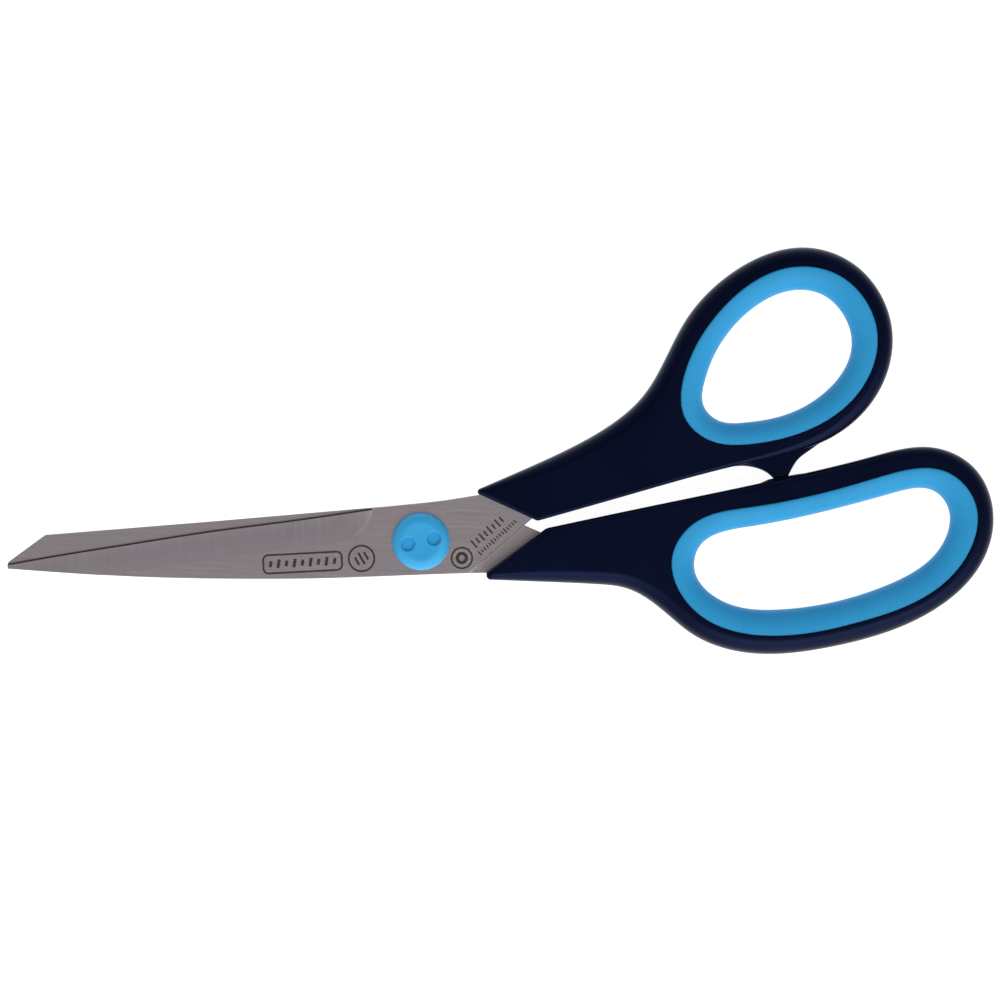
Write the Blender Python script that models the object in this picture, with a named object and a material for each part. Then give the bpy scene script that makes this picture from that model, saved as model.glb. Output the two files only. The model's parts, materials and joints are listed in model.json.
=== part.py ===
"""Office scissors, 8 1/2 inch, lying closed on a flat surface.

Two stamped steel blades turn on a screw and sleeve nut. A hard handle is moulded round each tang, and
a soft grip lines each finger loop. All shapes are drawn in millimetres in the pivot frame: the pivot
axis is the origin, the tips point to -X, the thumb loop is at +Y, and z = 0 is the plane where the
blades meet. The last step puts the middle of the underside at the world origin.
"""

import math

import bmesh
import bpy
import numpy as np
from mathutils import Vector

MM = 0.001

# Thicknesses and clearances.
BLADE_T = 1.8
BLADE_GAP = 0.4
BLADE_IN = BLADE_GAP / 2
BLADE_OUT = BLADE_IN + BLADE_T
HANDLE_HALF = 5.0
GRIP_HALF = 4.8
FIT = 0.15
STOP_GAP = 0.2

# Rounding of the handles' edges.
ROUND_STEPS = 3
CORNER_STEPS = 3
RIM_LEFT = 0.5

# A tongue round each loop keys the grip to its handle.
TONGUE_DEPTH = 0.9
TONGUE_HALF = 1.1

# Pivot hardware.
SHANK_R = 2.1
FLAT_R = 2.6
FLAT_HALF = 2.1
RUNNING = 0.08
SCREW_R = 1.45
BORE_R = 1.55
SEAT_Z = BLADE_OUT + 0.05
NUT_R = 4.8
NUT_T = 1.25
SLOT_W = 1.1
SLOT_DEPTH = 0.6
HEAD_R = 4.6
HEAD_Z = (2.75, 3.75)
WAVE_R = (2.5, 4.1)
WAVE_T = 0.22
WAVE_RISE = 0.12
WASHER_R = (2.75, 5.5)
WASHER_HALF = 0.14
CAP_R = 6.3
CAP_TOP = 4.7
CAP_BASE = BLADE_OUT + 0.12
DIMPLE_R = 1.45
DIMPLE_REACH = 2.9
DIMPLE_DEPTH = 0.55
DIMPLE_ANGLES = (12, 192)
ROUND_SEGMENTS = 40

# Ground bevel of the blades.
EDGE_T = 0.3
BEVEL_WIDTH = 6.1
BEVEL_HOLLOW = 0.18
HEEL_X = -10.6
PLUNGE_X = -18.5
TIP_X = -90.5

# Tang key holes, filled by posts of the moulding.
KEY_R = 1.7

# Points each outline passes through.
THUMB_LOOP = [
    (83.9, 55.0), (88.0, 53.9), (94.3, 43.8), (82.5, 28.8), (70.6, 26.0), (65.3, 26.4), (61.9, 29.7),
    (62.1, 34.9), (67.9, 46.4),
]
THUMB_SEAT = [
    (92.0, 58.1), (100.0, 45.6), (96.2, 32.8), (71.8, 21.0), (63.5, 21.7), (57.8, 26.4), (58.4, 39.5),
    (63.5, 48.4), (80.6, 60.1),
]
FINGER_LOOP = [
    (112.5, 10.9), (115.4, 7.4), (114.5, 0.0), (101.7, -9.7), (78.8, -14.9), (65.7, -12.9), (59.9, -6.2),
    (61.1, -1.0), (67.9, 2.5), (72.6, 3.3), (103.2, 10.5),
]
FINGER_SEAT = [
    (115.9, 15.0), (121.5, 8.2), (117.7, -6.0), (95.3, -18.0), (89.2, -19.5), (58.7, -14.3), (54.7, -3.5),
    (59.5, 4.1), (71.9, 7.7), (98.5, 13.8),
]
# Outer edge of each handle from one front corner to the other, as (x, y, radius of the edge's rounding),
# and the radius of the two corners themselves.
THUMB_EDGE = [
    (11.35, 10.87, 1.0), (22.0, 15.5, 2.5), (33.0, 20.6, 3.2), (43.4, 26.9, 3.2), (48.0, 31.1, 3.2),
    (58.0, 48.5, 3.2), (66.7, 57.8, 3.2), (84.7, 64.3, 3.2), (95.3, 60.3, 3.0), (103.1, 46.6, 2.6),
    (99.9, 32.2, 2.6), (89.1, 22.3, 2.2), (77.5, 18.5, 1.3), (66.0, 15.8, 1.0), (45.7, 10.2, 1.0),
    (25.5, 4.45, 1.0),
]
THUMB_CORNERS = (0.7, 1.3)
FINGER_EDGE = [
    (27.45, 2.88, 1.0), (48.0, 7.25, 1.2), (68.0, 11.4, 1.2), (85.7, 15.3, 1.5), (98.1, 18.4, 1.8),
    (112.4, 20.5, 2.4), (121.1, 16.1, 2.8), (125.3, 3.9, 3.0), (121.5, -6.7, 3.2), (113.0, -14.6, 3.4),
    (89.9, -23.1, 3.4), (67.0, -23.6, 3.4), (59.3, -20.3, 3.4), (53.8, -15.9, 3.4), (44.9, -10.3, 3.2),
    (38.5, -9.4, 3.0), (25.0, -8.8, 2.4), (12.4, -8.3, 1.0),
]
FINGER_CORNERS = (2.5, 1.0)
# The stop web's two free sides, which meet the pad on the finger handle.
WEB_FRONT = [(67.2, 16.2), (70.7, 16.5), (72.8, 16.2), (74.9, 15.5), (76.3, 14.65), (77.15, 13.9)]
WEB_BACK = [(80.4, 14.5), (81.2, 16.0), (82.7, 18.1), (84.5, 19.5), (88.0, 22.0)]


# ---------------------------------------------------------------- outlines
def spline_slopes(points, params, closed):
    """Slopes of the cubic spline through the points, found from its continuity equations."""
    count = len(points)
    matrix = np.zeros((count, count))
    right = np.zeros(points.shape)
    for i in range(count):
        before, after = (i - 1) % count, (i + 1) % count
        if not closed and i in (0, count - 1):
            other = 1 if i == 0 else count - 2
            matrix[i, i], matrix[i, other] = 2, 1
            right[i] = 3 * (points[other] - points[i]) / (params[other] - params[i])
            continue
        left_span = params[i] - params[i - 1] if i else params[-1] - params[-2]
        right_span = params[i + 1] - params[i]
        matrix[i, before] = 1 / left_span
        matrix[i, i] = 2 / left_span + 2 / right_span
        matrix[i, after] = 1 / right_span
        right[i] = 3 * (points[i] - points[before]) / left_span**2
        right[i] += 3 * (points[after] - points[i]) / right_span**2
    return np.linalg.solve(matrix, right)


def smooth_curve(points, count, closed=True):
    """count points, evenly spaced along the smooth curve that passes through the given points.

    A point may carry more numbers after x and y, and they vary as smoothly along the curve.
    """
    points = np.array(points, float)
    ring = np.vstack([points, points[:1]]) if closed else points
    params = run_along(ring)
    slopes = spline_slopes(points, params, closed)
    slopes = np.vstack([slopes, slopes[:1]]) if closed else slopes
    fine = np.linspace(0, params[-1], 40 * len(points) + 1)
    index = np.clip(np.searchsorted(params, fine, side="right") - 1, 0, len(params) - 2)
    span = (params[index + 1] - params[index])[:, None]
    t = (fine - params[index])[:, None] / span
    curve = (2 * t**3 - 3 * t**2 + 1) * ring[index] + (3 * t**2 - 2 * t**3) * ring[index + 1]
    curve += span * ((t**3 - 2 * t**2 + t) * slopes[index] + (t**3 - t**2) * slopes[index + 1])
    run = run_along(curve)
    even = np.linspace(0, run[-1], count, endpoint=not closed)
    return np.column_stack([np.interp(even, run, column) for column in curve.T])


def run_along(points):
    """The distance from the first point to each point, along the line through them."""
    return np.concatenate([[0], np.cumsum(np.linalg.norm(np.diff(points[:, :2], axis=0), axis=1))])


def is_counterclockwise(loop):
    following = np.roll(loop, -1, axis=0)
    return np.sum(loop[:, 0] * following[:, 1] - following[:, 0] * loop[:, 1]) > 0


def offset(loop, distance):
    """The closed outline moved inwards by a distance, or by one distance for each point."""
    before = loop - np.roll(loop, 1, axis=0)
    after = np.roll(before, -1, axis=0)
    turn = 1 if is_counterclockwise(loop) else -1
    normals = []
    for side in (before, after):
        side = side / np.linalg.norm(side, axis=1, keepdims=True)
        normals.append(turn * np.column_stack([-side[:, 1], side[:, 0]]))
    total = normals[0] + normals[1]
    reach = 1 + np.sum(normals[0] * normals[1], axis=1, keepdims=True)
    distance = np.broadcast_to(np.asarray(distance, float), len(loop))[:, None]
    return loop + total / reach * distance


def rounded(loop, radii, steps=CORNER_STEPS):
    """The closed outline with an arc of the given radius at each corner whose radius isn't 0."""
    points = []
    for i, (corner, radius) in enumerate(zip(loop, radii)):
        if radius <= 0:
            points.append(corner)
            continue
        to_last = loop[i - 1] - corner
        to_next = loop[(i + 1) % len(loop)] - corner
        to_last /= np.linalg.norm(to_last)
        to_next /= np.linalg.norm(to_next)
        half = math.acos(np.clip(np.dot(to_last, to_next), -1, 1)) / 2
        middle = to_last + to_next
        centre = corner + middle / np.linalg.norm(middle) * radius / math.sin(half)
        first = corner + to_last * radius / math.tan(half) - centre
        last = corner + to_next * radius / math.tan(half) - centre
        for share in np.linspace(0, 1, steps + 1):
            arm = first * (1 - share) + last * share
            points.append(centre + arm / np.linalg.norm(arm) * radius)
    return np.array(points)


def corners(*points):
    """An outline given as (x, y) or (x, y, radius) corners."""
    radii = [point[2] if len(point) > 2 else 0 for point in points]
    return rounded(np.array([point[:2] for point in points], float), radii)


def circle(radius, count=ROUND_SEGMENTS, centre=(0, 0)):
    angles = np.arange(count) * 2 * math.pi / count
    return np.column_stack([centre[0] + radius * np.cos(angles), centre[1] + radius * np.sin(angles)])


def double_d(radius, half_width, count=ROUND_SEGMENTS):
    """A circle with two flats."""
    loop = circle(radius, count)
    loop[:, 1] = np.clip(loop[:, 1], -half_width, half_width)
    return loop


# ---------------------------------------------------------------- solids
def new_object(name, mesh_maker, material=None, parent=None):
    """An object whose mesh mesh_maker(bm) builds in millimetres in the pivot frame."""
    bm = bmesh.new()
    mesh_maker(bm)
    bmesh.ops.scale(bm, vec=(MM, MM, MM), verts=bm.verts)
    bmesh.ops.recalc_face_normals(bm, faces=bm.faces)
    mesh = bpy.data.meshes.new(name)
    bm.to_mesh(mesh)
    bm.free()
    mesh.shade_smooth()
    mesh.set_sharp_from_angle(angle=math.radians(35))
    obj = bpy.data.objects.new(name, mesh)
    bpy.context.scene.collection.objects.link(obj)
    obj.parent = parent
    if material:
        mesh.materials.append(material)
    return obj


def add_loop(bm, loop, height):
    heights = np.broadcast_to(np.asarray(height, float), len(loop))
    return [bm.verts.new((x, y, z)) for (x, y), z in zip(loop, heights)]


def bridge(bm, first, second):
    count = len(first)
    for i in range(count):
        j = (i + 1) % count
        bm.faces.new((first[i], first[j], second[j], second[i]))


def fill(bm, *loops):
    """Fills the flat area between an outer ring of vertices and the rings inside it."""
    edges = []
    for loop in loops:
        for pair in zip(loop, [loop[-1], *loop[:-1]]):
            edges.append(bm.edges.get(pair) or bm.edges.new(pair))
    bmesh.ops.triangle_fill(bm, use_beauty=True, edges=edges, normal=(0, 0, 1))


def skin(bm, levels, closed=False):
    """Joins (outline, height) levels into one band of faces and returns its rings of vertices."""
    rings = [add_loop(bm, loop, height) for loop, height in levels]
    for first, second in zip(rings, rings[1:]):
        bridge(bm, first, second)
    if closed:
        bridge(bm, rings[-1], rings[0])
    return rings


def prism(name, outline, low, high, holes=(), **kwargs):
    """A flat plate between two heights, with holes right through it."""

    def build(bm):
        walls = [skin(bm, [(loop, low), (loop, high)]) for loop in (outline, *holes)]
        fill(bm, *[rings[0] for rings in walls])
        fill(bm, *[rings[1] for rings in walls])

    return new_object(name, build, **kwargs)


def turned(name, profile, **kwargs):
    """A solid of revolution about the pivot axis. The profile is a closed list of (radius, z)."""

    def build(bm):
        skin(bm, [(circle(radius), z) for radius, z in profile], closed=True)

    return new_object(name, build, **kwargs)


def boolean(obj, operation, tool):
    """Cuts or joins a helper object, which itself stays out of the model."""
    modifier = obj.modifiers.new(operation.lower() + "_" + tool.name, "BOOLEAN")
    modifier.operation = operation
    modifier.object = tool
    tool.parent = obj.parent
    tool.hide_render = True
    tool.display_type = "WIRE"


# ---------------------------------------------------------------- materials
def material(name, colour, roughness, metallic=0.0):
    made = bpy.data.materials.new(name)
    made.use_nodes = True
    shader = made.node_tree.nodes["Principled BSDF"]
    shader.inputs["Base Color"].default_value = (*colour, 1)
    shader.inputs["Roughness"].default_value = roughness
    shader.inputs["Metallic"].default_value = metallic
    made.diffuse_color = (*colour, 1)
    return made


# ---------------------------------------------------------------- blades
def front_outline():
    """The blade whose cutting edge faces +Y, and its tang, which rises into the thumb handle."""
    back = [(-90.5, -6.0), (-78.0, -6.9), (-62.0, -7.8), (-42.0, -8.25), (-22.0, -8.15), (0.0, -7.35)]
    back = smooth_curve([*back, (10.4, -7.0)], 15, closed=False)
    tang = [(24.2, 4.9), (28.6, 8.5, 6), (50.4, 17.0, 3.4), (47.6, 24.0, 3.4), (22.0, 13.2, 6)]
    tang = corners(*tang, (13.2, 10.25))
    shoulder = [(5.3, 9.0), (-1.0, 8.25), (-7.5, 7.65)]
    edge = [(-14.0, 6.7), (-30.0, 4.4), (-46.0, 2.3), (-63.0, -0.35), (-78.0, -2.75), (-90.56, -4.95)]
    edge = smooth_curve(edge, 13, closed=False)
    return np.vstack([back, tang, shoulder, edge])


def rear_outline():
    """The blade whose cutting edge faces -Y, and its tang, which drops into the finger handle."""
    back = [(9.2, 9.3, 0.6), (-7.5, 7.65), (-44.6, 4.45), (-82.3, 1.4, 0.8), (-90.5, -4.6, 0.2)]
    edge = [(-90.3, -5.4), (-11.5, -7.25), (13.9, -7.0)]
    tang = [(19.0, -6.4, 4), (45.5, -5.7, 3.4), (47.2, 2.0, 3.4), (31.0, -0.1, 5), (26.6, 1.8)]
    return corners(*back, *edge, *tang)


def height_on(path, x):
    xs, ys = np.array(sorted(path)).T
    return float(np.interp(x, xs, ys))


def grind(name, edge_path, side):
    """The space that the grinding wheel sweeps beside a cutting edge.

    side is +1 for the front blade, whose outer face is up and whose edge faces +Y, and -1 for the rear one.
    """
    beyond, above = 1.5, 1.0

    def section(x):
        edge_y = side * height_on(edge_path, x)
        share = min(1.0, max(0.0, (HEEL_X - x) / (HEEL_X - PLUNGE_X)))
        opening = math.sqrt(1 - (1 - share) ** 2)
        width = BEVEL_WIDTH * opening
        drop = (BLADE_T - EDGE_T) * opening
        profile = []
        for t in (-0.08, 0.33, 0.66, 1.0, 1 + beyond / BEVEL_WIDTH):
            hollow = BEVEL_HOLLOW * opening * 4 * t * (1 - t) if 0 < t < 1 else 0
            profile.append((edge_y - width * (1 - t), BLADE_OUT - drop * t - hollow))
        profile.append((profile[-1][0], BLADE_OUT + above))
        profile.append((profile[0][0], BLADE_OUT + above))
        return [(x, side * y, side * z) for y, z in profile]

    plunge = [PLUNGE_X + (HEEL_X - PLUNGE_X) * s for s in (0, 0.3, 0.55, 0.75, 0.9, 0.985)]
    stations = [*np.linspace(TIP_X - 2, PLUNGE_X, 8)[:-1], *plunge]

    def build(bm):
        rings = [[bm.verts.new(p) for p in section(x)] for x in stations]
        for first, second in zip(rings, rings[1:]):
            bridge(bm, first, second)
        bm.faces.new(rings[0])
        bm.faces.new(rings[-1])

    return new_object(name, build)


def thumb_keys(radius):
    return [circle(radius, 16, centre) for centre in ((31.0, 13.3), (43.0, 18.0))]


def finger_keys(radius):
    return [circle(radius, 16, centre) for centre in ((29.0, -3.1), (41.0, -2.0))]


def make_blades(front, rear, steel):
    front_edge = [(-95.0, -5.75), (-78.0, -2.75), (-63.0, -0.35), (-46.0, 2.3), (-30.0, 4.4), (-7.5, 7.65)]
    rear_edge = [(-95.0, -5.3), (-11.5, -7.25), (-5.0, -7.2)]
    holes = [circle(SHANK_R + RUNNING), *thumb_keys(KEY_R)]
    blade = prism("front_blade", front_outline(), BLADE_IN, BLADE_OUT, holes, material=steel, parent=front)
    boolean(blade, "DIFFERENCE", grind("front_grind", front_edge, 1))
    holes = [double_d(FLAT_R + RUNNING, FLAT_HALF + RUNNING), *finger_keys(KEY_R)]
    blade = prism("rear_blade", rear_outline(), -BLADE_OUT, -BLADE_IN, holes, material=steel, parent=rear)
    boolean(blade, "DIFFERENCE", grind("rear_grind", rear_edge, -1))


# ---------------------------------------------------------------- handles and grips
def handle_levels(edge_points, front_corners, count, seat):
    """The (outline, height) levels of a handle's outer wall, from its top face to its underside."""
    curve = smooth_curve(edge_points, count, closed=False)
    edge = curve[:, :2]
    to_seat = np.linalg.norm(edge[:, None] - seat[None], axis=2).min(axis=1)
    radii = np.minimum(curve[:, 2], to_seat - RIM_LEFT)
    corner = np.zeros(count)
    corner[[0, -1]] = front_corners
    levels = []
    for angle in np.linspace(math.pi / 2, 0, ROUND_STEPS + 1):
        inset = radii * (1 - math.cos(angle))
        loop = offset(edge, inset)
        loop = rounded(loop, np.where(corner > 0, np.maximum(corner - inset, 0.15), 0))
        height = rounded_heights(HANDLE_HALF - radii * (1 - math.sin(angle)))
        levels.append((loop, height))
    return levels + [(loop, -height) for loop, height in reversed(levels)]


def rounded_heights(heights):
    """Heights for an outline whose first and last points became arcs."""
    arc = CORNER_STEPS + 1
    return np.concatenate([np.full(arc, heights[0]), heights[1:-1], np.full(arc, heights[-1])])


def handle(name, edge_points, front_corners, edge_count, seat_points, seat_count, **kwargs):
    """A handle moulding with its finger loop opened to the grip's seat, which has a tongue round it."""
    seat = smooth_curve(seat_points, seat_count)
    tongue = offset(seat, TONGUE_DEPTH)
    wall = [(seat, HANDLE_HALF), (seat, TONGUE_HALF), (tongue, TONGUE_HALF)]
    wall += [(loop, -height) for loop, height in reversed(wall)]

    def build(bm):
        outside = skin(bm, handle_levels(edge_points, front_corners, edge_count, seat))
        inside = skin(bm, wall)
        fill(bm, outside[0], inside[0])
        fill(bm, outside[-1], inside[-1])

    return new_object(name, build, **kwargs)


def grip(name, loop_points, seat_points, count, **kwargs):
    """A soft lining: a half-round bead inside, and a grooved outer wall that takes the handle's tongue."""
    inner = smooth_curve(loop_points, count)
    seat = smooth_curve(seat_points, count)
    start = np.argmin(np.linalg.norm(seat - inner[0], axis=1))
    seat = np.roll(seat, -start, axis=0)
    outer = offset(seat, FIT)
    floor = offset(seat, TONGUE_DEPTH + FIT)
    bead = []
    for angle in np.radians([90, 68, 45, 22]):
        share = 0.94 * math.cos(angle)
        bead.append((floor + (inner - floor) * share, GRIP_HALF * math.sin(angle) ** 0.8))
    upper = [(floor, TONGUE_HALF + FIT), (outer, TONGUE_HALF + FIT), (outer, GRIP_HALF - 0.3), *bead]
    levels = upper + [(inner, 0)] + [(loop, -height) for loop, height in reversed(upper)]

    def build(bm):
        skin(bm, levels, closed=True)

    return new_object(name, build, **kwargs)


def tang_pocket(name, outline, low, high, keys):
    """The room a blade's tang takes in its handle, with the posts that pass through its key holes left in."""
    return prism(name, offset(outline, -FIT), low - FIT, high + FIT, keys(KEY_R - FIT))


def make_handles(front, rear, navy, blue):
    looks = {"material": navy, "parent": front}
    thumb = handle("thumb_handle", THUMB_EDGE, THUMB_CORNERS, 66, THUMB_SEAT, 44, **looks)
    web_front = smooth_curve(WEB_FRONT, 9, closed=False)
    web_back = smooth_curve(WEB_BACK, 8, closed=False)
    web = np.vstack([web_front, web_back, [(86.5, 22.6), (76.0, 20.4), (68.0, 18.0)]])
    boolean(thumb, "UNION", prism("stop_web", web, -2.4, 2.4))
    pocket = tang_pocket("thumb_tang_pocket", front_outline(), BLADE_IN, BLADE_OUT, thumb_keys)
    boolean(thumb, "DIFFERENCE", pocket)

    looks = {"material": navy, "parent": rear}
    finger = handle("finger_handle", FINGER_EDGE, FINGER_CORNERS, 74, FINGER_SEAT, 52, **looks)
    pad = [(72.4, 11.0), (73.2, 12.3), (76.2, 13.6, 1.5), (82.6, 14.75, 3), (86.4, 15.2), (86.4, 13.0)]
    boolean(finger, "UNION", prism("stop_pad", corners(*pad), -2.6, 2.6))
    pocket = tang_pocket("finger_tang_pocket", rear_outline(), -BLADE_OUT, -BLADE_IN, finger_keys)
    boolean(finger, "DIFFERENCE", pocket)

    grip("thumb_grip", THUMB_LOOP, THUMB_SEAT, 44, material=blue, parent=front)
    grip("finger_grip", FINGER_LOOP, FINGER_SEAT, 52, material=blue, parent=rear)


# ---------------------------------------------------------------- pivot hardware
def make_nut(parent, steel):
    """A slotted sleeve nut: round where the front blade turns on it, and flatted in the rear blade."""
    low, seat = -SEAT_Z - NUT_T, -SEAT_Z
    flats_end = -BLADE_IN - 0.1
    sleeve_end = BLADE_OUT - 0.15

    def build(bm):
        skin(
            bm,
            [
                (circle(BORE_R), low),
                (circle(NUT_R - 0.4), low),
                (circle(NUT_R), low + 0.4),
                (circle(NUT_R), seat),
                (double_d(FLAT_R, FLAT_HALF), seat),
                (double_d(FLAT_R, FLAT_HALF), flats_end),
                (circle(SHANK_R), flats_end),
                (circle(SHANK_R), sleeve_end),
                (circle(BORE_R), sleeve_end),
            ],
            closed=True,
        )

    nut = new_object("pivot_nut", build, material=steel, parent=parent)
    half = NUT_R + 1
    slot = corners((-half, -SLOT_W / 2), (half, -SLOT_W / 2), (half, SLOT_W / 2), (-half, SLOT_W / 2))
    boolean(nut, "DIFFERENCE", prism("nut_slot", slot, low - 1, low + SLOT_DEPTH))


def make_screw(parent, steel):
    """The pivot screw. The cap hides its head."""
    tip = -SEAT_Z - NUT_T + 0.75
    low, high = HEAD_Z

    def build(bm):
        levels = [
            (SCREW_R - 0.3, tip),
            (SCREW_R, tip + 0.3),
            (SCREW_R, low),
            (HEAD_R, low),
            (HEAD_R, high - 0.25),
            (HEAD_R - 0.25, high),
        ]
        rings = skin(bm, [(circle(radius), z) for radius, z in levels])
        fill(bm, rings[0])
        fill(bm, rings[-1])

    new_object("pivot_screw", build, material=steel, parent=parent)


def make_washers(parent, steel, nylon):
    inner, outer = WAVE_R
    wave = WAVE_RISE * np.sin(3 * np.arange(ROUND_SEGMENTS) * 2 * math.pi / ROUND_SEGMENTS)
    middle = (BLADE_OUT + HEAD_Z[0]) / 2

    def build(bm):
        levels = [(inner, -1), (outer, -1), (outer, 1), (inner, 1)]
        rings = [(circle(radius), middle + wave + side * WAVE_T / 2) for radius, side in levels]
        skin(bm, rings, closed=True)

    new_object("wave_washer", build, material=steel, parent=parent)
    inner, outer = WASHER_R
    ring = [(inner, -WASHER_HALF), (outer, -WASHER_HALF), (outer, WASHER_HALF), (inner, WASHER_HALF)]
    turned("friction_washer", ring, material=nylon, parent=parent)


def make_cap(parent, blue):
    """A domed button that snaps over the screw's head, with two dimples for a spanner."""
    lip = HEAD_R - 0.25
    room = HEAD_R + 0.12
    ceiling = HEAD_Z[1] + 0.12
    outside = [
        (lip, CAP_BASE),
        (CAP_R - 0.15, CAP_BASE),
        (CAP_R, CAP_BASE + 0.3),
        (CAP_R, CAP_BASE + 0.9),
        (CAP_R - 0.35, CAP_TOP - 0.75),
        (CAP_R - 0.95, CAP_TOP - 0.2),
        (CAP_R - 1.5, CAP_TOP),
    ]
    inside = [(room, ceiling), (room, HEAD_Z[0] - 0.1), (lip, HEAD_Z[0] - 0.25)]

    def build(bm):
        rings = skin(bm, [(circle(radius), z) for radius, z in [*inside, *outside]])
        fill(bm, rings[0])
        fill(bm, rings[-1])

    cap = new_object("pivot_cap", build, material=blue, parent=parent)
    for i, angle in enumerate(DIMPLE_ANGLES):
        turn = math.radians(angle)
        centre = (DIMPLE_REACH * math.cos(turn), DIMPLE_REACH * math.sin(turn))
        dimple = circle(DIMPLE_R, 20, centre)
        floor = CAP_TOP - DIMPLE_DEPTH
        boolean(cap, "DIFFERENCE", prism(f"cap_dimple_{i + 1}", dimple, floor, CAP_TOP + 1))


# ---------------------------------------------------------------- assembly
def new_empty(name, parent=None):
    made = bpy.data.objects.new(name, None)
    bpy.context.scene.collection.objects.link(made)
    made.parent = parent
    return made


def stand_on_origin(root):
    """Moves the whole object so that the middle of its underside is the world origin."""
    bpy.context.view_layer.update()
    graph = bpy.context.evaluated_depsgraph_get()
    shown = [o for o in bpy.data.objects if o.type == "MESH" and not o.hide_render]
    solids = [o.evaluated_get(graph) for o in shown]
    spots = np.array([o.matrix_world @ Vector(corner) for o in solids for corner in o.bound_box])
    low, high = spots.min(axis=0), spots.max(axis=0)
    root.location = (-(low[0] + high[0]) / 2, -(low[1] + high[1]) / 2, -low[2])


def main():
    for old in list(bpy.data.objects):
        bpy.data.objects.remove(old)
    steel = material("stainless_steel", (0.46, 0.45, 0.46), 0.32, metallic=1.0)
    navy = material("navy_plastic", (0.008, 0.012, 0.04), 0.45)
    blue = material("blue_soft_rubber", (0.05, 0.33, 0.66), 0.55)
    nylon = material("white_nylon", (0.8, 0.8, 0.76), 0.5)
    root = new_empty("pivot_axis")
    front = new_empty("front_half", root)
    rear = new_empty("rear_half", root)
    make_blades(front, rear, steel)
    make_handles(front, rear, navy, blue)
    make_nut(rear, steel)
    make_screw(rear, steel)
    make_washers(rear, steel, nylon)
    make_cap(rear, blue)
    stand_on_origin(root)


main()
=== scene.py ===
import json
import math

import bmesh
import bpy
import numpy as np
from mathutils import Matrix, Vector


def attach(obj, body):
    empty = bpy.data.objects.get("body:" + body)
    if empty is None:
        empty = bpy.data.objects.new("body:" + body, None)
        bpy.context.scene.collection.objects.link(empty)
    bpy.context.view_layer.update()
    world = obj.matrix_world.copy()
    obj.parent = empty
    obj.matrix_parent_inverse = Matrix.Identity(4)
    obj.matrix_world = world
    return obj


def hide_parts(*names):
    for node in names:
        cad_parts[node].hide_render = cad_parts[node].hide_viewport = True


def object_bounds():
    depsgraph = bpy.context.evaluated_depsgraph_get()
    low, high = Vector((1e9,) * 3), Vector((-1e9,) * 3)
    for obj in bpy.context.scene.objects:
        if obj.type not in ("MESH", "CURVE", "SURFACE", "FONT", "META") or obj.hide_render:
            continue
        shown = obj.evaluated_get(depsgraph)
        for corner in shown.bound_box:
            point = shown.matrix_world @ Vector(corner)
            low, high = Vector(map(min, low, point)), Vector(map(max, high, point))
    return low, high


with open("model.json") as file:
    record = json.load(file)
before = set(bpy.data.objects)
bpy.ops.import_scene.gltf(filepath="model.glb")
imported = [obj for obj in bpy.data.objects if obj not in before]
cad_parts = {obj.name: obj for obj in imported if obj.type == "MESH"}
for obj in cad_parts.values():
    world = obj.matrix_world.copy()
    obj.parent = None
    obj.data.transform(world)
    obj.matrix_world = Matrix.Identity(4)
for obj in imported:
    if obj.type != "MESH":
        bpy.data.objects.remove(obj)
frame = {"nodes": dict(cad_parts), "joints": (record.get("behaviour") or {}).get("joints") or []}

# The look of a pair of office scissors. Every outline is drawn in millimetres in the pivot frame: the
# pivot axis is the origin, the tips point to -X, the thumb loop is at +Y, and z = 0 is the plane where
# the blades meet. placed() then moves it to the frame's own pivot, in metres.
MM = 0.001
CAD_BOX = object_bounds()
PIVOT = Vector(next(joint["pos_m"] for joint in frame["joints"] if joint["name"] == "blade_pivot"))

# Blades.
BLADE_IN = 0.2
BLADE_OUT = 2.0
BLADE_CHAMFER = 0.1
EDGE_T = 0.12
FACET_WIDTH = 0.36
FACET_DROP = 0.34
BEVEL_WIDTH = 6.1
BEVEL_HOLLOW = 0.2
HEEL_X = -10.6
PLUNGE_X = -18.5
TIP_X = -90.5

# Handles and grips.
HANDLE_HALF = 5.0
GRIP_HALF = 4.75
GRIP_GAP = 0.14
TONGUE_DEPTH = 0.9
TONGUE_HALF = 1.1
GRIP_POWER = 2.25
GRIP_SHOULDER = 0.35
RIM_LEFT = 0.5
SEAT_ROUND = 0.12
SEAM_DEPTH = 0.05
SEAM_HALF = 0.07
WEB_HALF = 2.4
PAD_HALF = 2.6
STOP_ROUND = 0.3

# Pivot.
CAP_R = 6.3
CAP_BASE = 2.12
CAP_ROOM = 4.72
CAP_CEILING = 3.87
CAP_LIP = 4.35
DIMPLE_R = 1.45
DIMPLE_REACH = 2.9
DIMPLE_DEPTH = 0.9
DIMPLE_ANGLES = (12, 192)
NUT_R = 4.8
NUT_T = 1.25
NUT_SEAT = 2.05
SHANK_R = 2.1
FLAT_R = 2.6
FLAT_HALF = 2.11
RUNNING = 0.08
BORE_R = 1.55
SLOT_W = 1.1
SLOT_DEPTH = 0.6

# Light: (height on the sky, level) from the horizon up, the glow over the -Y side, and one soft lamp.
SKY = [(0.0, 0.8), (0.35, 0.66), (0.7, 0.42), (0.88, 0.28), (0.97, 0.2)]
KEY_FROM = (0.2, -0.75, 0.63)
KEY_SPREAD = (0.6, 1.0)
KEY_LEVEL = 1.6
FILL_ENERGY = 2.6
FILL_FROM = (0.2, -0.6, 1.1)
FILL_SIZE = (0.9, 0.5)

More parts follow.
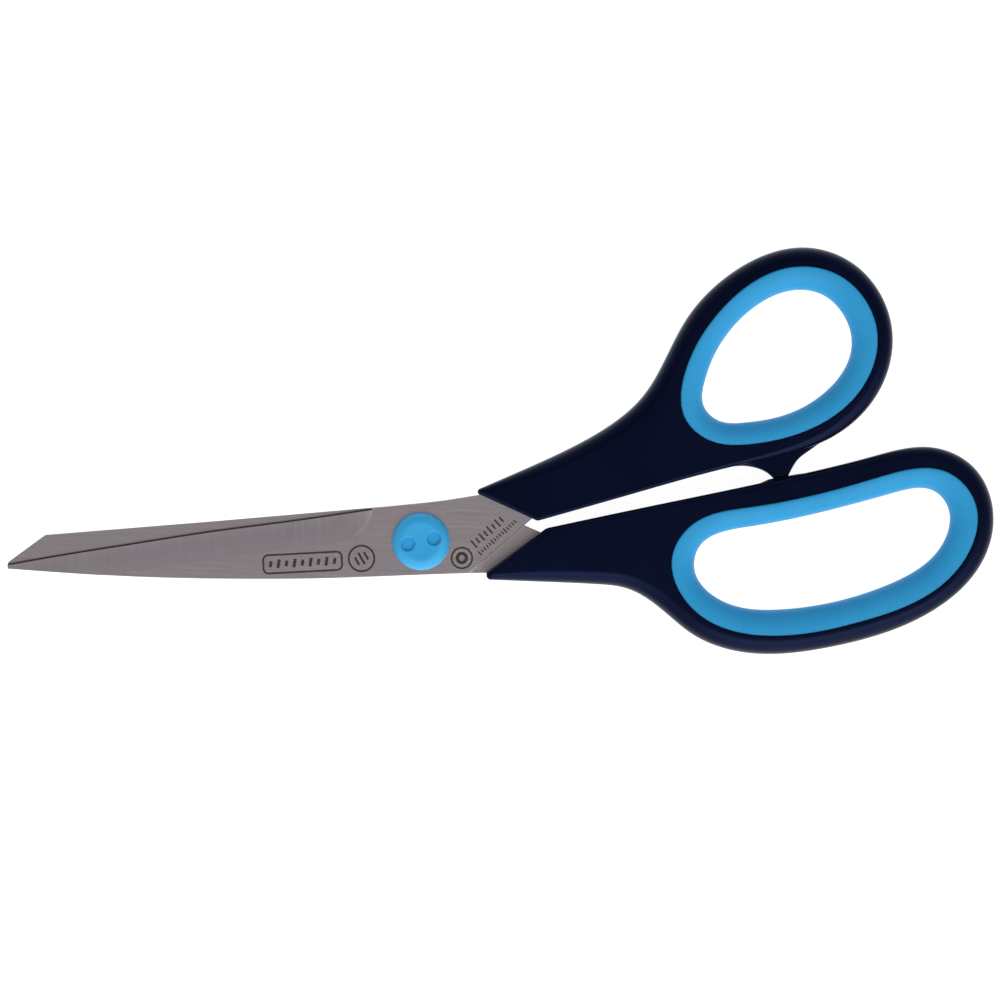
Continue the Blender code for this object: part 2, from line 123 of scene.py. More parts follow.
# Floor and camera, in metres. The camera looks straight down on a point given from the pivot.
FLOOR_GLOW = 0.95
FLOOR_GAP = 0.0002
FLOOR_HALF = 2.6
FLOOR_CELLS = 26
VIEW_WIDTH = 0.219
VIEW_DISTANCE = 2.5
VIEW_HEIGHT = 0.005
VIEW_CENTRE = (0.0173, 0.00904)
VIEW_FAR = 20

# Etched marks: how far they stand on the steel, and how deep they sink in it.
MARK_RISE = 0.006
MARK_SINK = 0.03

# Points each outline passes through. A third number is the rounding of the handle's edge there.
THUMB_LOOP = [
    (83.9, 55.0), (88.0, 53.9), (94.3, 43.8), (82.5, 28.8), (70.6, 26.0), (65.3, 26.4), (61.9, 29.7),
    (62.1, 34.9), (67.9, 46.4),
]
THUMB_SEAT = [
    (92.0, 58.1), (100.0, 45.6), (96.2, 32.8), (71.8, 21.0), (63.5, 21.7), (57.8, 26.4), (58.4, 39.5),
    (63.5, 48.4), (80.6, 60.1),
]
FINGER_LOOP = [
    (112.5, 10.9), (115.4, 7.4), (114.5, 0.0), (101.7, -9.7), (78.8, -14.9), (65.7, -12.9),
    (59.9, -6.2), (61.1, -1.0), (67.9, 2.5), (72.6, 3.3), (103.2, 10.5),
]
FINGER_SEAT = [
    (115.9, 15.0), (121.5, 8.2), (117.7, -6.0), (95.3, -18.0), (89.2, -19.5), (58.7, -14.3),
    (54.7, -3.5), (59.5, 4.1), (71.9, 7.7), (98.5, 13.8),
]
THUMB_EDGE = [
    (11.35, 10.87, 1.0), (22.0, 15.5, 2.5), (33.0, 20.6, 3.2), (43.4, 26.9, 3.2), (48.0, 31.1, 3.2),
    (58.0, 48.5, 3.2), (66.7, 57.8, 3.2), (84.7, 64.3, 3.2), (95.3, 60.3, 3.0), (103.1, 46.6, 2.6),
    (99.9, 32.2, 2.6), (89.1, 22.3, 2.2), (77.5, 18.5, 1.2), (66.0, 15.8, 0.8), (45.7, 10.2, 0.6),
    (25.5, 4.45, 0.6),
]
THUMB_CORNERS = (0.7, 1.3)
FINGER_EDGE = [
    (27.45, 2.88, 1.0), (48.0, 7.25, 1.2), (68.0, 11.4, 1.2), (85.7, 15.3, 1.5), (98.1, 18.4, 1.8),
    (112.4, 20.5, 2.4), (121.1, 16.1, 2.8), (125.3, 3.9, 3.0), (121.5, -6.7, 3.2), (113.0, -14.6, 3.4),
    (89.9, -23.1, 3.4), (67.0, -23.6, 3.4), (59.3, -20.3, 3.4), (53.8, -15.9, 3.4), (44.9, -10.3, 3.2),
    (38.5, -9.4, 3.0), (25.0, -8.8, 2.4), (12.4, -8.3, 1.0),
]
FINGER_CORNERS = (2.5, 1.0)
# Edge points nearer an end than this many times its corner's radius make way for the corner's arc.
CORNER_REACH = 3.0
WEB_FRONT = [(67.2, 16.2), (70.7, 16.5), (72.8, 16.2), (74.9, 15.5), (76.3, 14.6), (77.15, 13.78)]
WEB_BACK = [(80.4, 14.36), (81.2, 15.95), (82.7, 18.1), (84.5, 19.5), (88.0, 22.0)]
WEB_ROOT = [(86.5, 22.6), (76.0, 20.4), (68.0, 18.0)]
PAD = [(72.4, 11.0), (73.2, 12.3), (76.2, 13.6, 1.5), (82.6, 14.75, 3), (86.4, 15.2), (86.4, 13.0)]


# ---------------------------------------------------------------- outlines
def run_along(points):
    """The distance from the first point to each point, along the line through them."""
    return np.concatenate([[0], np.cumsum(np.linalg.norm(np.diff(points[:, :2], axis=0), axis=1))])


def spline_slopes(points, params, closed):
    """Slopes of the cubic spline through the points, found from its continuity equations."""
    count = len(points)
    matrix = np.zeros((count, count))
    right = np.zeros(points.shape)
    for i in range(count):
        before, after = (i - 1) % count, (i + 1) % count
        if not closed and i in (0, count - 1):
            other = 1 if i == 0 else count - 2
            matrix[i, i], matrix[i, other] = 2, 1
            right[i] = 3 * (points[other] - points[i]) / (params[other] - params[i])
            continue
        left_span = params[i] - params[i - 1] if i else params[-1] - params[-2]
        right_span = params[i + 1] - params[i]
        matrix[i, before] = 1 / left_span
        matrix[i, i] = 2 / left_span + 2 / right_span
        matrix[i, after] = 1 / right_span
        right[i] = 3 * (points[i] - points[before]) / left_span**2
        right[i] += 3 * (points[after] - points[i]) / right_span**2
    return np.linalg.solve(matrix, right)


def smooth_curve(points, count, closed=True):
    """count points, evenly spaced along the smooth curve that passes through the given points."""
    points = np.array(points, float)
    ring = np.vstack([points, points[:1]]) if closed else points
    params = run_along(ring)
    slopes = spline_slopes(points, params, closed)
    slopes = np.vstack([slopes, slopes[:1]]) if closed else slopes
    fine = np.linspace(0, params[-1], 60 * len(points) + 1)
    index = np.clip(np.searchsorted(params, fine, side="right") - 1, 0, len(params) - 2)
    span = (params[index + 1] - params[index])[:, None]
    t = (fine - params[index])[:, None] / span
    curve = (2 * t**3 - 3 * t**2 + 1) * ring[index] + (3 * t**2 - 2 * t**3) * ring[index + 1]
    curve += span * ((t**3 - 2 * t**2 + t) * slopes[index] + (t**3 - t**2) * slopes[index + 1])
    run = run_along(curve)
    even = np.linspace(0, run[-1], count, endpoint=not closed)
    return np.column_stack([np.interp(even, run, column) for column in curve.T])


def offset(loop, distance):
    """The closed outline moved inwards by a distance, or by one distance for each point."""
    following = np.roll(loop, -1, axis=0)
    area = np.sum(loop[:, 0] * following[:, 1] - following[:, 0] * loop[:, 1])
    normals = []
    for side in (loop - np.roll(loop, 1, axis=0), following - loop):
        side = side / np.linalg.norm(side, axis=1, keepdims=True)
        normals.append(np.sign(area) * np.column_stack([-side[:, 1], side[:, 0]]))
    total = normals[0] + normals[1]
    reach = 1 + np.sum(normals[0] * normals[1], axis=1, keepdims=True)
    return loop + total / reach * np.broadcast_to(np.asarray(distance, float), len(loop))[:, None]


def rounded(loop, radii, steps):
    """The closed outline with an arc of the given radius at each corner whose radius isn't 0."""
    points = []
    for i, (corner, radius) in enumerate(zip(loop, radii)):
        if radius <= 0:
            points.append(corner)
            continue
        to_last = loop[i - 1] - corner
        to_next = loop[(i + 1) % len(loop)] - corner
        to_last = to_last / np.linalg.norm(to_last)
        to_next = to_next / np.linalg.norm(to_next)
        half = math.acos(np.clip(np.dot(to_last, to_next), -1, 1)) / 2
        middle = to_last + to_next
        centre = corner + middle / np.linalg.norm(middle) * radius / math.sin(half)
        first = corner + to_last * radius / math.tan(half) - centre
        last = corner + to_next * radius / math.tan(half) - centre
        for share in np.linspace(0, 1, steps + 1):
            arm = first * (1 - share) + last * share
            points.append(centre + arm / np.linalg.norm(arm) * radius)
    return np.array(points)


def corners(*points, steps=8):
    """An outline given as (x, y) or (x, y, radius) corners."""
    radii = [point[2] if len(point) > 2 else 0 for point in points]
    return rounded(np.array([point[:2] for point in points], float), radii, steps)


def circle(radius, count=96, centre=(0, 0)):
    angles = np.arange(count) * 2 * math.pi / count
    return np.column_stack([centre[0] + radius * np.cos(angles), centre[1] + radius * np.sin(angles)])


def flatted(radius, half):
    """A circle with a flat on either side, the given distance from the middle."""
    loop = circle(radius)
    loop[:, 1] = np.clip(loop[:, 1], -half, half)
    return loop


def turned_about(loop, degrees, centre):
    """The outline turned about the origin and then moved to a centre."""
    c, s = math.cos(math.radians(degrees)), math.sin(math.radians(degrees))
    return np.asarray(loop, float) @ np.array([[c, s], [-s, c]]) + centre


# ---------------------------------------------------------------- meshes
def add_loop(bm, loop, height):
    heights = np.broadcast_to(np.asarray(height, float), len(loop))
    return [bm.verts.new((x, y, z)) for (x, y), z in zip(loop, heights)]


def bridge(bm, first, second):
    for i in range(len(first)):
        j = (i + 1) % len(first)
        bm.faces.new((first[i], first[j], second[j], second[i]))


def skin(bm, levels, closed=False):
    """Joins (outline, height) levels into one band of faces and returns its rings of vertices."""
    rings = [add_loop(bm, loop, height) for loop, height in levels]
    for first, second in zip(rings, rings[1:]):
        bridge(bm, first, second)
    if closed:
        bridge(bm, rings[-1], rings[0])
    return rings


def fill(bm, *loops):
    """Fills the flat area between an outer ring of vertices and the rings inside it."""
    edges = []
    for loop in loops:
        for pair in zip(loop, [loop[-1], *loop[:-1]]):
            edges.append(bm.edges.get(pair) or bm.edges.new(pair))
    bmesh.ops.triangle_fill(bm, use_beauty=True, edges=edges, normal=(0, 0, 1))


def pole(bm, ring, height):
    """Closes a ring with a fan of faces to one vertex on the pivot axis."""
    top = bm.verts.new((0, 0, height))
    for i in range(len(ring)):
        bm.faces.new((ring[i], ring[(i + 1) % len(ring)], top))


def plate(bm, levels, holes=()):
    """A solid between the first and the last level, with straight holes right through it."""
    walls = [skin(bm, levels)]
    low, high = levels[0][1], levels[-1][1]
    walls += [skin(bm, [(hole, low), (hole, high)]) for hole in holes]
    fill(bm, *[rings[0] for rings in walls])
    fill(bm, *[rings[-1] for rings in walls])


def new_object(name, build):
    """An object whose mesh build(bm) makes in millimetres in the pivot frame."""
    bm = bmesh.new()
    build(bm)
    bmesh.ops.recalc_face_normals(bm, faces=bm.faces)
    mesh = bpy.data.meshes.new(name)
    bm.to_mesh(mesh)
    bm.free()
    obj = bpy.data.objects.new(name, mesh)
    bpy.context.scene.collection.objects.link(obj)
    return obj


def boolean(obj, operation, tool):
    """Cuts or joins a helper object, and removes the helper."""
    modifier = obj.modifiers.new("shape", "BOOLEAN")
    modifier.operation = operation
    modifier.object = tool
    bpy.context.view_layer.update()
    made = bpy.data.meshes.new_from_object(obj.evaluated_get(bpy.context.evaluated_depsgraph_get()))
    obj.modifiers.clear()
    obj.data = made
    bpy.data.objects.remove(tool)


def placed(obj, materials, sharp=35, kind=None):
    """Puts a piece made in the pivot frame in its place, in the CAD's box, with its materials.

    kind(x, y, z, normal) gives the index of a face's material, from its centre in millimetres.
    """
    mesh = obj.data
    mesh.materials.clear()
    for made in materials:
        mesh.materials.append(made)
    for face in mesh.polygons:
        face.material_index = kind(*face.center, face.normal) if kind else 0
    spots = np.zeros(len(mesh.vertices) * 3)
    mesh.vertices.foreach_get("co", spots)
    spots = spots.reshape(-1, 3) * MM + np.array(PIVOT)
    spots = np.clip(spots, np.array(CAD_BOX[0]), np.array(CAD_BOX[1]))
    mesh.vertices.foreach_set("co", spots.ravel())
    mesh.update()
    mesh.shade_smooth()
    mesh.set_sharp_from_angle(angle=math.radians(sharp))
    weighted = obj.modifiers.new("weighted", "WEIGHTED_NORMAL")
    weighted.keep_sharp = True
    return obj


# ---------------------------------------------------------------- materials
class Look:
    """A Principled material whose colour, roughness and bump come from procedural nodes."""

    def __init__(self, name, **sockets):
        self.made = bpy.data.materials.new(name)
        self.made.use_nodes = True
        self.tree = self.made.node_tree
        self.shader = self.tree.nodes["Principled BSDF"]
        for key, value in sockets.items():
            self.shader.inputs[key.replace("_", " ")].default_value = value
        self.place = self.tree.nodes.new("ShaderNodeTexCoord").outputs["Object"]
        self.height = None

    def node(self, kind, values=None, **settings):
        made = self.tree.nodes.new(kind)
        for key, value in settings.items():
            setattr(made, key, value)
        for key, value in (values or {}).items():
            if isinstance(value, bpy.types.NodeSocket):
                self.tree.links.new(value, made.inputs[key])
            else:
                made.inputs[key].default_value = value
        return made

    def noise(self, size, detail=3.0, rough=0.5, turn=0.0, centre=(0, 0, 0)):
        """A noise from 0 to 1 whose grain has the given size in millimetres along x, y and z."""
        values = {"Vector": self.place, "Location": centre, "Rotation": (0, 0, math.radians(turn))}
        moved = self.node("ShaderNodeMapping", values, vector_type="TEXTURE").outputs["Vector"]
        values = {"Vector": moved, "Scale": [1 / (length * MM) for length in size]}
        scaled = self.node("ShaderNodeMapping", values).outputs["Vector"]
        values = {"Vector": scaled, "Scale": 1.0, "Detail": detail, "Roughness": rough}
        return self.node("ShaderNodeTexNoise", values).outputs["Fac"]

    def spread(self, value, low, high, start=0.3, end=0.7):
        """The value's stretch from start to end, moved to low to high."""
        values = {"Value": value, "From Min": start, "From Max": end, "To Min": low, "To Max": high}
        return self.node("ShaderNodeMapRange", values).outputs["Result"]

    def blend(self, share, first, second):
        """A colour between two colours."""
        made = self.node("ShaderNodeMix", data_type="RGBA")
        for index, value in ((0, share), (6, first), (7, second)):
            socket = made.inputs[index]
            if isinstance(value, bpy.types.NodeSocket):
                self.tree.links.new(value, socket)
            else:
                socket.default_value = value if isinstance(value, float) else (*value, 1)
        return made.outputs[2]

    def colour(self, value):
        self.tree.links.new(value, self.shader.inputs["Base Color"])

    def roughness(self, value):
        self.tree.links.new(value, self.shader.inputs["Roughness"])

    def bump(self, height, distance, strength=1.0):
        """Adds one layer of bump. distance is the height of the grain in millimetres."""
        values = {"Height": height, "Distance": distance * MM, "Strength": strength}
        if self.height:
            values["Normal"] = self.height
        self.height = self.node("ShaderNodeBump", values).outputs["Normal"]
        self.tree.links.new(self.height, self.shader.inputs["Normal"])


def brushed_steel(name, base, rough, along, turn=0.0, fine=0.05, coarse=0.35, depth=0.0004):
    """Steel with fine parallel lines. along is the direction of the lines, X or Y, before the turn."""
    look = Look(name, Metallic=1.0, Roughness=rough)
    long_size, line_sizes = 14.0, (fine, coarse)
    layers = []
    for line in line_sizes:
        size = (long_size, line, 4.0) if along == "X" else (line, long_size, 4.0)
        layers.append(look.noise(size, detail=2.0, turn=turn))
    cloud = look.noise((16.0, 9.0, 9.0), detail=3.0)
    dark = tuple(0.95 * part for part in base)
    light = tuple(min(1.0, 1.03 * part) for part in base)
    tone = look.blend(look.spread(layers[1], 0.0, 1.0), dark, light)
    warm = tuple(part * tint for part, tint in zip(base, (1.05, 1.0, 0.95)))
    look.colour(look.blend(look.spread(cloud, 0.0, 0.6), tone, warm))
    look.roughness(look.spread(layers[0], rough - 0.04, rough + 0.05))
    look.bump(layers[0], depth)
    look.bump(layers[1], depth * 2)
    return look.made


def moulded_plastic(name, base, light, rough, specular, sheen):
    """Satin plastic with a faint spark texture, slow changes of tone, and a few fine rub marks.

    sheen is the tint of its reflections.
    """
    look = Look(name, Roughness=rough, Specular_IOR_Level=specular, Specular_Tint=(*sheen, 1))
    cloud = look.noise((22.0, 22.0, 12.0), detail=4.0, rough=0.55)
    grain = look.noise((0.22, 0.22, 0.22), detail=2.0, rough=0.6)
    rubs = look.noise((9.0, 0.12, 3.0), detail=2.0, turn=24.0)
    look.colour(look.blend(look.spread(cloud, 0.0, 1.0), base, light))
    value = look.spread(cloud, rough - 0.03, rough + 0.04)
    marks = look.spread(rubs, 0.0, 0.05, 0.6, 0.75)
    look.roughness(look.node("ShaderNodeMath", {0: value, 1: marks}, operation="ADD").outputs[0])
    look.bump(grain, 0.0015)
    look.bump(cloud, 0.05, 0.6)
    return look.made


def soft_rubber(name, base, light, rough, specular):
    """Matt rubber with a fine moulded grain and slightly uneven tone."""
    look = Look(name, Roughness=rough, Specular_IOR_Level=specular)
    cloud = look.noise((13.0, 13.0, 9.0), detail=4.0, rough=0.6)
    grain = look.noise((0.3, 0.3, 0.3), detail=3.0, rough=0.6)
    speck = look.noise((0.7, 0.7, 0.7), detail=2.0)
    tone = look.blend(look.spread(cloud, 0.0, 1.0), base, light)
    dull = tuple(0.9 * part for part in base)
    look.colour(look.blend(look.spread(speck, 0.0, 0.16, 0.5, 0.8), tone, dull))
    look.roughness(look.spread(grain, rough - 0.04, rough + 0.05))
    look.bump(grain, 0.01)
    look.bump(cloud, 0.06, 0.5)
    return look.made


def turned_steel(name, base, rough):
    """Steel with the fine rings that a lathe leaves, round the pivot axis."""
    ring_size = 0.28
    look = Look(name, Metallic=1.0, Roughness=rough)
    values = {"Vector": look.place, "Location": tuple(PIVOT)}
    moved = look.node("ShaderNodeMapping", values, vector_type="TEXTURE").outputs["Vector"]
    scale = 1 / (ring_size * MM) / 6.28
    values = {"Vector": moved, "Scale": scale, "Distortion": 0.4, "Detail": 1.0}
    rings = look.node("ShaderNodeTexWave", values, wave_type="RINGS", rings_direction="Z")
    rings = rings.outputs["Fac"]
    cloud = look.noise((1.6, 1.6, 1.6), detail=3.0)
    dark = tuple(0.82 * part for part in base)
    look.colour(look.blend(look.spread(cloud, 0.0, 1.0), dark, base))
    look.roughness(look.spread(cloud, rough - 0.05, rough + 0.08))
    look.bump(rings, 0.004)
    return look.made


def matt_dark(name, base, light, grain, rough, metallic=0.0):
    """A dark surface that mottles between two tones."""
    look = Look(name, Metallic=metallic, Roughness=rough, Specular_IOR_Level=0.2)
    mottle = look.noise((grain, grain, grain), detail=3.0, rough=0.6)
    look.colour(look.blend(look.spread(mottle, 0.0, 1.0), base, light))
    look.roughness(look.spread(mottle, rough - 0.08, rough + 0.08))
    look.bump(mottle, 0.003)
    return look.made


# ---------------------------------------------------------------- blades
def front_outline():
    """The blade whose cutting edge faces +Y, and its tang, which rises into the thumb handle."""
    back = [(-90.5, -6.0), (-78.0, -6.9), (-62.0, -7.8), (-42.0, -8.25), (-22.0, -8.15), (0.0, -7.35)]
    back = smooth_curve([*back, (10.4, -7.0)], 50, closed=False)
    tang = [(24.2, 4.9), (28.6, 8.5, 6), (50.4, 17.0, 3.4), (47.6, 24.0, 3.4), (22.0, 13.2, 6)]
    tang = corners(*tang, (13.2, 10.25))
    shoulder = [(5.3, 9.0), (-1.0, 8.25), (-7.5, 7.65)]
    return np.vstack([back, tang, shoulder, front_cutting_edge()])


def front_cutting_edge():
    edge = [(-14.0, 6.7), (-30.0, 4.4), (-46.0, 2.3), (-63.0, -0.35), (-78.0, -2.75)]
    return smooth_curve([*edge, (-90.56, -4.95)], 40, closed=False)


def rear_outline():
    """The blade whose cutting edge faces -Y, and its tang, which drops into the finger handle."""
    back = [(9.2, 9.3, 0.6), (-7.5, 7.65), (-44.6, 4.45), (-82.3, 1.4, 0.8), (-90.5, -4.6, 0.2)]
    edge = [(-90.3, -5.4), (-11.5, -7.25), (13.9, -7.0)]
    tang = [(19.0, -6.4, 4), (45.5, -5.7, 3.4), (47.2, 2.0, 3.4), (31.0, -0.1, 5), (26.6, 1.8)]
    return corners(*back, *edge, *tang)


def grind(edge_path, side):
    """The space that grinding wheels sweep beside a cutting edge: a hollow bevel and the steep facet
    that honing leaves.

    side is +1 for the front blade, whose outer face is up and whose edge faces +Y, and -1 for the rear
    one.
    """
    xs, ys = np.array(sorted(map(tuple, edge_path))).T
    beyond, above = 1.5, 1.0
    drop = BLADE_OUT - BLADE_IN - EDGE_T - FACET_DROP
    flank = np.linspace(0, 1, 10)

    def section(x):
        edge_y = side * float(np.interp(x, xs, ys))
        share = min(1.0, max(0.0, (HEEL_X - x) / (HEEL_X - PLUNGE_X)))
        width = BEVEL_WIDTH * math.sqrt(1 - (1 - share) ** 2)
        sunk = share * share * (3 - 2 * share)
        profile = [(edge_y - width * 1.08, BLADE_OUT + drop * sunk * 0.08)]
        facet = min(FACET_WIDTH, 0.5 * width)
        for t in flank[1:]:
            hollow = BEVEL_HOLLOW * sunk * 4 * t * (1 - t)
            profile.append((edge_y - width + t * (width - facet), BLADE_OUT - drop * sunk * t - hollow))
        fall = FACET_DROP / FACET_WIDTH * (facet + beyond)
        profile.append((edge_y + beyond, profile[-1][1] - fall))
        profile.append((profile[-1][0], BLADE_OUT + above))
        profile.append((profile[0][0], BLADE_OUT + above))
        return [(x, side * y, side * z) for y, z in profile]

    shares = (*np.linspace(0, 0.9, 19), 0.95, 0.985)
    plunge = [PLUNGE_X + (HEEL_X - PLUNGE_X) * share for share in shares]
    stations = [*np.linspace(TIP_X - 2, PLUNGE_X, 50)[:-1], *plunge]

    def build(bm):
        rings = [[bm.verts.new(p) for p in section(x)] for x in stations]
        for first, second in zip(rings, rings[1:]):
            bridge(bm, first, second)
        bm.faces.new(rings[0])
        bm.faces.new(rings[-1])

    return new_object("grind", build)


def blade(name, outline, edge_path, side, bore, materials):
    """A stamped blade with broken edges. Its materials are for flats, bevel, facet and sides; the
    facet's is a near-black painted shade line along the cutting edge.
    """
    broken = offset(outline, BLADE_CHAMFER)
    levels = [
        (broken, side * BLADE_IN),
        (outline, side * (BLADE_IN + BLADE_CHAMFER * 0.5)),
        (outline, side * (BLADE_OUT - BLADE_CHAMFER)),
        (broken, side * BLADE_OUT),
    ]
    obj = new_object(name, lambda bm: plate(bm, levels, [bore]))
    boolean(obj, "DIFFERENCE", grind(edge_path, side))

    xs, ys = np.array(sorted(map(tuple, edge_path))).T

    def kind(x, y, z, normal):
        up, height = side * normal.z, side * z
        to_edge = abs(y - float(np.interp(x, xs, ys)))
        if up > 0.3 and height < BLADE_OUT - 0.001 and x < HEEL_X + 0.5:
            # Index 2 is the edge facet, whose near-black colour is a painted shade line along the
            # cutting edge.
            return 2 if up < 0.86 and to_edge < FACET_WIDTH else 1
        return 0 if abs(up) > 0.95 else 3

    return placed(obj, materials, sharp=12, kind=kind)


def make_blades(looks):
    steels = [looks[key] for key in ("flat", "ground", "facet", "sides")]
    path = [(-95.0, -5.75), *map(tuple, front_cutting_edge()), (-7.5, 7.65), (-1.0, 8.25)]
    bore = circle(SHANK_R + RUNNING)
    front = blade("front_blade_steel", front_outline(), path, 1, bore, steels)
    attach(front, "front_half")
    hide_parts("front_blade")
    path = [(-95.0, -5.3), (-11.5, -7.25), (-5.0, -7.2)]
    bore = flatted(FLAT_R + RUNNING, FLAT_HALF + RUNNING)
    rear = blade("rear_blade_steel", rear_outline(), path, -1, bore, steels)
    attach(rear, "rear_half")
    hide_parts("rear_blade")


# ---------------------------------------------------------------- marks etched on the front blade
def stroke(bm, loop):
    """A filled mark."""
    low, high = BLADE_OUT - MARK_SINK, BLADE_OUT + MARK_RISE
    plate(bm, [(loop, low), (loop, high)])


def outline_mark(bm, loop, width):
    """A mark drawn as a closed line."""
    low, high = BLADE_OUT - MARK_SINK, BLADE_OUT + MARK_RISE
    outer, inner = offset(loop, -width / 2), offset(loop, width / 2)
    skin(bm, [(outer, low), (outer, high), (inner, high), (inner, low)], closed=True)


def bar(length, width, centre, degrees):
    half, wide = length / 2, width / 2
    box = corners((-wide, -half), (wide, -half), (wide, half), (-wide, half))
    return turned_about(box, degrees, centre)


def make_marks(ink):
    """Plain geometric marks: a framed hatch, two round stamps and a small scale of ticks."""

    def build(bm):
        tilt, centre = 3.0, np.array([-25.9, -4.65])
        frame_half, frame_high, radius, line = 8.6, 2.0, 1.1, 0.42
        box = [(-frame_half, -frame_high), (frame_half, -frame_high), (frame_half, frame_high)]
        box = corners(*[(x, y, radius) for x, y in [*box, (-frame_half, frame_high)]])
        outline_mark(bm, turned_about(box, tilt, centre), line)
        for i in range(9):
            spot = turned_about([((i - 4) * 1.75, 0.0)], tilt, centre)[0]
            stroke(bm, bar(1.9 if i % 2 else 1.3, 0.68, spot, tilt - 12))
        stamp, radius = np.array([-13.0, -3.75]), 2.8
        outline_mark(bm, circle(radius, 64, stamp), line)
        for i, length in enumerate((1.9, 2.9, 1.9)):
            spot = turned_about([((i - 1) * 1.15, 0.0)], 30, stamp)[0]
            stroke(bm, bar(length, 0.5, spot, 30))
        stamp, radius = np.array([8.95, -3.65]), 2.25
        outline_mark(bm, circle(radius, 64, stamp), 0.4)
        outline_mark(bm, circle(1.0, 32, stamp), 0.7)
        turn = 42.0
        along = np.array([math.cos(math.radians(turn)), math.sin(math.radians(turn))])
        start = np.array([11.6, -0.6])
        for i in range(8):
            stroke(bm, bar(2.0 if i % 2 == 0 else 1.4, 0.4, start + along * i * 1.15, turn))
        start = np.array([12.9, -2.6])
        for i in range(15):
            stroke(bm, bar(1.2 if i % 5 == 0 else 0.8, 0.3, start + along * i * 0.74, turn))

    marks = placed(new_object("blade_marks", build), [ink])
    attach(marks, "front_half")


# ---------------------------------------------------------------- handles and grips
def handle_levels(edge_points, front_corners, count, seat):
    """The (outline, height) levels of a handle's outer wall, from its top face to its underside."""
    steps, corner_steps = 11, 8
    curve = smooth_curve(edge_points, count, closed=False)
    edge = curve[:, :2]
    near = np.zeros(count, bool)
    for end, radius in zip((0, -1), front_corners):
        near |= np.linalg.norm(edge - edge[end], axis=1) < CORNER_REACH * radius
    near[[0, -1]] = False
    curve, edge, count = curve[~near], edge[~near], int(np.sum(~near))
    to_seat = np.linalg.norm(edge[:, None] - seat[None], axis=2).min(axis=1)
    radii = np.minimum(curve[:, 2], to_seat - RIM_LEFT)
    corner = np.zeros(count)
    corner[[0, -1]] = front_corners

    def level(inset, height):
        loop = offset(edge, inset)
        loop = rounded(loop, np.where(corner > 0, np.maximum(corner - inset, 0.15), 0), corner_steps)
        height = np.broadcast_to(height, count)
        arc = corner_steps + 1
        return loop, np.concatenate([np.full(arc, height[0]), height[1:-1], np.full(arc, height[-1])])

    levels = []
    for angle in np.linspace(math.pi / 2, 0, steps + 1):
        inset = radii * (1 - math.cos(angle))
        levels.append(level(inset, HANDLE_HALF - radii * (1 - math.sin(angle))))
    levels.append(level(0.0, SEAM_HALF))
    seam = level(SEAM_DEPTH, 0.0)
    return [*levels, seam, *[(loop, -height) for loop, height in reversed(levels)]]


def handle(name, edge_points, front_corners, edge_count, seat_points, seat_count, looks, *tools):
    """A handle moulding. tools are helper solids that are joined to it."""
    seat = smooth_curve(seat_points, seat_count)
    wall = []
    for angle in np.radians([90, 67, 45, 22, 0]):
        out = SEAT_ROUND * (1 - math.cos(angle)) - SEAT_ROUND
        wall.append((offset(seat, out), HANDLE_HALF - SEAT_ROUND * (1 - math.sin(angle))))
    wall += [(seat, TONGUE_HALF), (offset(seat, TONGUE_DEPTH), TONGUE_HALF)]
    wall += [(loop, -height) for loop, height in reversed(wall)]

    def build(bm):
        outside = skin(bm, handle_levels(edge_points, front_corners, edge_count, seat))
        inside = skin(bm, wall)
        fill(bm, outside[0], inside[0])
        fill(bm, outside[-1], inside[-1])

    obj = new_object(name, build)
    for tool in tools:
        boolean(obj, "UNION", tool)
    return placed(obj, [looks["navy"]])


def stop_block(name, loop, half):
    """A web or a pad, with its upper and lower edges softened."""
    inner = offset(loop, STOP_ROUND)
    middle = offset(loop, STOP_ROUND * 0.3)
    levels = [(inner, half), (middle, half - STOP_ROUND * 0.3), (loop, half - STOP_ROUND)]
    levels += [(loop, -height) for loop, height in reversed(levels)]
    return new_object(name, lambda bm: plate(bm, levels))


def grip(name, loop_points, seat_points, count, looks):
    """A soft lining whose face swells from the handle's rim and rolls over into the finger hole."""
    inner = smooth_curve(loop_points, count)
    seat = smooth_curve(seat_points, count)
    start = np.argmin(np.linalg.norm(seat - inner[0], axis=1))
    seat = np.roll(seat, -start, axis=0)
    outer = offset(seat, GRIP_GAP)
    groove = TONGUE_HALF + GRIP_GAP
    levels = [(offset(seat, TONGUE_DEPTH + GRIP_GAP), groove), (outer, groove)]
    levels.append((outer, GRIP_HALF - GRIP_SHOULDER))
    for angle in np.radians([30, 60, 90]):
        inset = GRIP_GAP + GRIP_SHOULDER * (1 - math.cos(angle))
        levels.append((offset(seat, inset), GRIP_HALF - GRIP_SHOULDER * (1 - math.sin(angle))))
    crest = offset(seat, GRIP_GAP + GRIP_SHOULDER)
    for angle in np.linspace(math.pi / 2, 0, 25)[1:-1]:
        share = math.cos(angle) ** (2 / GRIP_POWER)
        height = GRIP_HALF * math.sin(angle) ** (2 / GRIP_POWER)
        levels.append((crest + (inner - crest) * share, height))
    levels = [*levels, (inner, 0.0), *[(loop, -height) for loop, height in reversed(levels)]]
    lining = new_object(name, lambda bm: skin(bm, levels, closed=True))
    return placed(lining, [looks["rubber"]])


